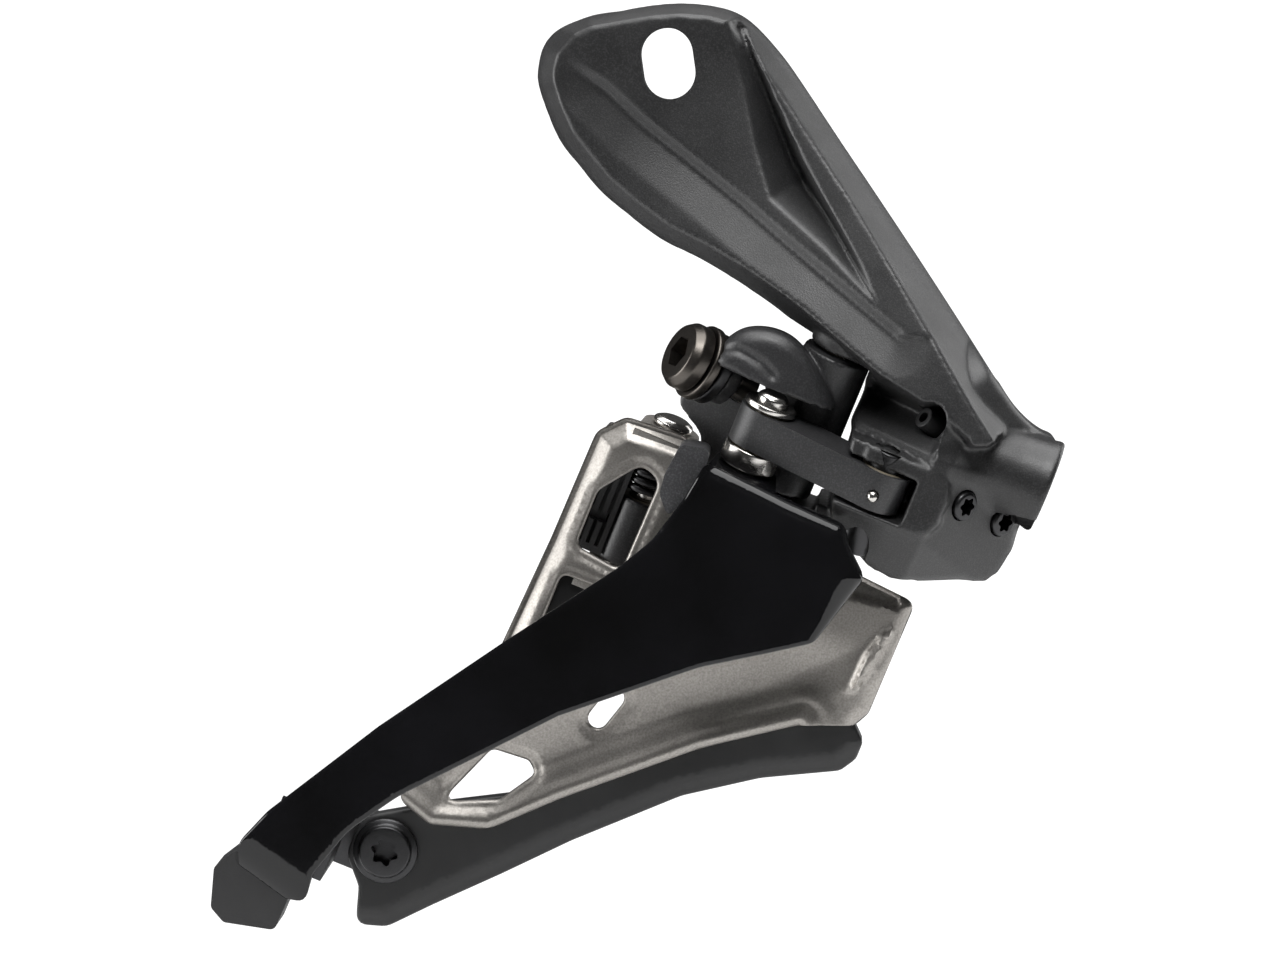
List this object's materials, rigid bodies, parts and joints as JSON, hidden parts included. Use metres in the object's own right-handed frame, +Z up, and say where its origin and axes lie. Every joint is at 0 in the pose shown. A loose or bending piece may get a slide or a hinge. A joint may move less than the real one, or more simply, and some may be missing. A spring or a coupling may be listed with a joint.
{
  "type": "front derailleur",
  "caption": "Direct-mount side-swing front derailleur for a two-ring crankset: slotted bracket arm, parallel links with return spring, and a gloss-and-metal chain cage.",
  "frame": {"origin": "on the arm's inboard mounting face, 8.5 mm below the middle of the mounting slot", "axes": "+Z up, +X to the front of the bike, +Y inboard out of the mounting face, towards the bike frame"},
  "size_m": [0.1138, 0.0312, 0.1244],
  "materials": {
    "bracket_paint": "satin, fine grain",
    "link_paint": "satin, fine grain",
    "gloss_paint": "high gloss",
    "plate_metal": "satin, bead blasted",
    "bridge_metal": "satin",
    "bush_polymer": "satin",
    "black_polymer": "matte moulded",
    "bolt_steel": "dark satin",
    "black_steel": "black oxide satin",
    "bright_steel": "polished"
  },
  "bodies": {
    "bracket": {"bracket": "bracket_paint", "cable_liner": "bush_polymer", "front_outer_pin": "bright_steel", "front_inner_pin": "bright_steel"},
    "high_screw": {"high_limit_screw": "black_steel"},
    "low_screw": {"low_limit_screw": "black_steel"},
    "outer_link": {"outer_link": "link_paint", "outer_link_front_bush": "bush_polymer", "outer_link_rear_bush": "bush_polymer", "link_dowel": "bright_steel"},
    "inner_link": {"inner_link": "link_paint", "inner_link_front_bush": "bush_polymer", "inner_link_rear_bush": "bush_polymer", "cable_bolt": "bolt_steel", "cable_washer": "bolt_steel", "cable_clamp": "bolt_steel"},
    "cage": {"outer_plate": "gloss_paint", "inner_plate": "plate_metal", "cage_bridge": "bridge_metal", "bridge_rivet_upper": "bright_steel", "bridge_rivet_lower": "bright_steel", "rear_outer_pin": "bright_steel", "rear_outer_washer": "bright_steel", "rear_outer_collar": "bright_steel", "rear_inner_pin": "bright_steel", "return_spring": "black_steel", "skid_pad": "black_polymer", "skid_screw": "black_steel", "tail_bridge": "black_steel", "tail_block": "black_polymer"}
  },
  "joints": [
    {"name": "outer_link_swing", "type": "hinge", "parent": "bracket", "child": "outer_link", "pos_m": [0.02786, -0.02, -0.04717], "axis": [0.3664, -0.2079, 0.9069], "range_deg": [0, 24], "stiffness_Nm_per_rad": 0.6, "springref_deg": -45.84},
    {"name": "inner_link_swing", "type": "hinge", "parent": "bracket", "child": "inner_link", "pos_m": [0.01837, -0.00875, -0.04076], "axis": [0.3664, -0.2079, 0.9069], "range_deg": [0, 24]},
    {"name": "cage_swing", "type": "hinge", "parent": "outer_link", "child": "cage", "pos_m": [0.01255, -0.01525, -0.0399], "axis": [0.3664, -0.2079, 0.9069], "range_deg": [-24, 0]},
    {"name": "high_limit_turn", "type": "hinge", "parent": "bracket", "child": "high_screw", "pos_m": [0.03953, -0.0187, -0.05005], "axis": [0.6676, -0.694, -0.2697], "range_deg": [-360, 360]},
    {"name": "low_limit_turn", "type": "hinge", "parent": "bracket", "child": "low_screw", "pos_m": [0.04476, -0.0127, -0.0526], "axis": [0.6676, -0.694, -0.2697], "range_deg": [-360, 360]}
  ],
  "couplings": [
    {"joint": "inner_link_swing", "follows": "outer_link_swing", "ratio": 1},
    {"joint": "cage_swing", "follows": "outer_link_swing", "ratio": -1}
  ]
}
